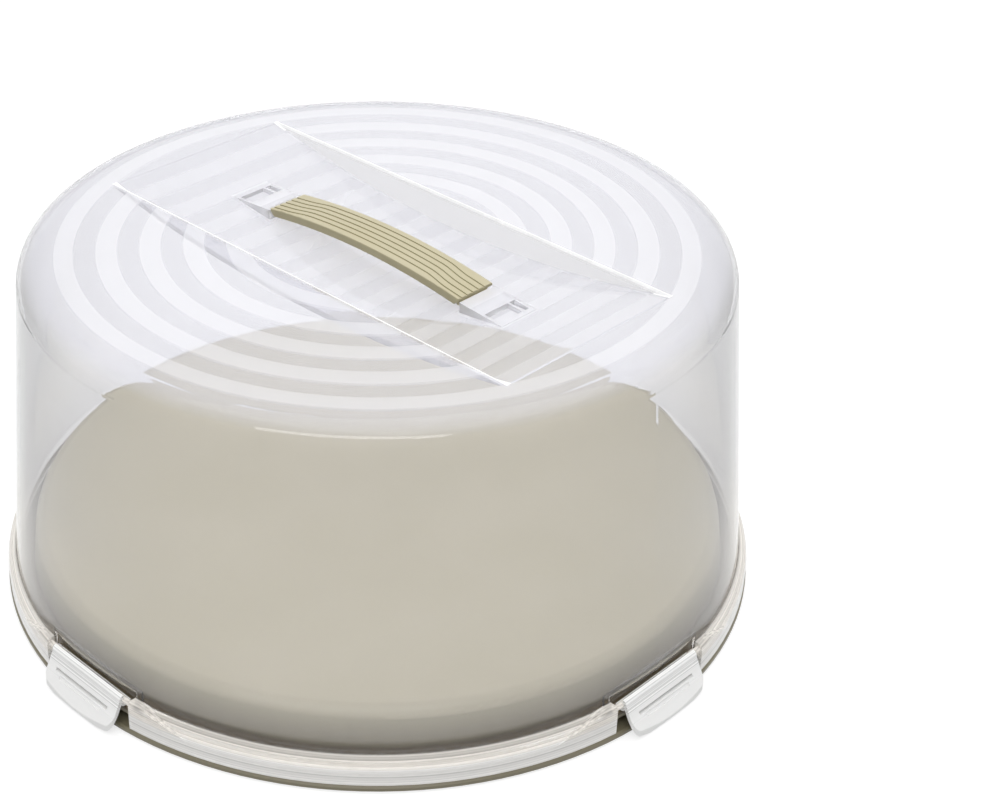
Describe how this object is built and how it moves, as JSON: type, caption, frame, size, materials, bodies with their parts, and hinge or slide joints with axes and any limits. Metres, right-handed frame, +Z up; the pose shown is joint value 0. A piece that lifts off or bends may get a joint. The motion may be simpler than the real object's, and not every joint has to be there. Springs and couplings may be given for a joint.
{
  "type": "cake carrier",
  "caption": "Round cake carrier: clear domed lid on a raised plate, held by side latch clips, with a strap handle over a channel.",
  "frame": {"origin": "centre of the face that stands on the bench", "axes": "+Z up along the carrier's axis, +X along the handle, clips on +X, +Y, -X and -Y"},
  "size_m": [0.3448, 0.3448, 0.156],
  "materials": {
    "plate_plastic": "satin moulded polypropylene",
    "lid_plastic": "clear moulded polypropylene",
    "handle_plastic": "satin moulded polypropylene",
    "clip_plastic": "clear moulded polypropylene"
  },
  "bodies": {
    "plate": {"base_plate": "plate_plastic"},
    "lid": {"dome_lid": "lid_plastic", "carry_handle": "handle_plastic"},
    "latch_clip_right": {"latch_clip_right": "clip_plastic"},
    "latch_clip_rear": {"latch_clip_rear": "clip_plastic"},
    "latch_clip_left": {"latch_clip_left": "clip_plastic"},
    "latch_clip_front": {"latch_clip_front": "clip_plastic"}
  },
  "joints": [
    {"name": "lid_lift", "type": "slide", "parent": "plate", "child": "lid", "axis": [0, 0, 1], "range_m": [0, 0.17]},
    {"name": "clip_right_hinge", "type": "hinge", "parent": "lid", "child": "latch_clip_right", "pos_m": [0.1623, 0, 0.0145], "axis": [0, -1, 0], "range_deg": [0, 110]},
    {"name": "clip_rear_hinge", "type": "hinge", "parent": "lid", "child": "latch_clip_rear", "pos_m": [0, 0.1623, 0.0145], "axis": [1, 0, 0], "range_deg": [0, 110]},
    {"name": "clip_left_hinge", "type": "hinge", "parent": "lid", "child": "latch_clip_left", "pos_m": [-0.1623, 0, 0.0145], "axis": [0, 1, 0], "range_deg": [0, 110]},
    {"name": "clip_front_hinge", "type": "hinge", "parent": "lid", "child": "latch_clip_front", "pos_m": [0, -0.1623, 0.0145], "axis": [-1, 0, 0], "range_deg": [0, 110]}
  ]
}
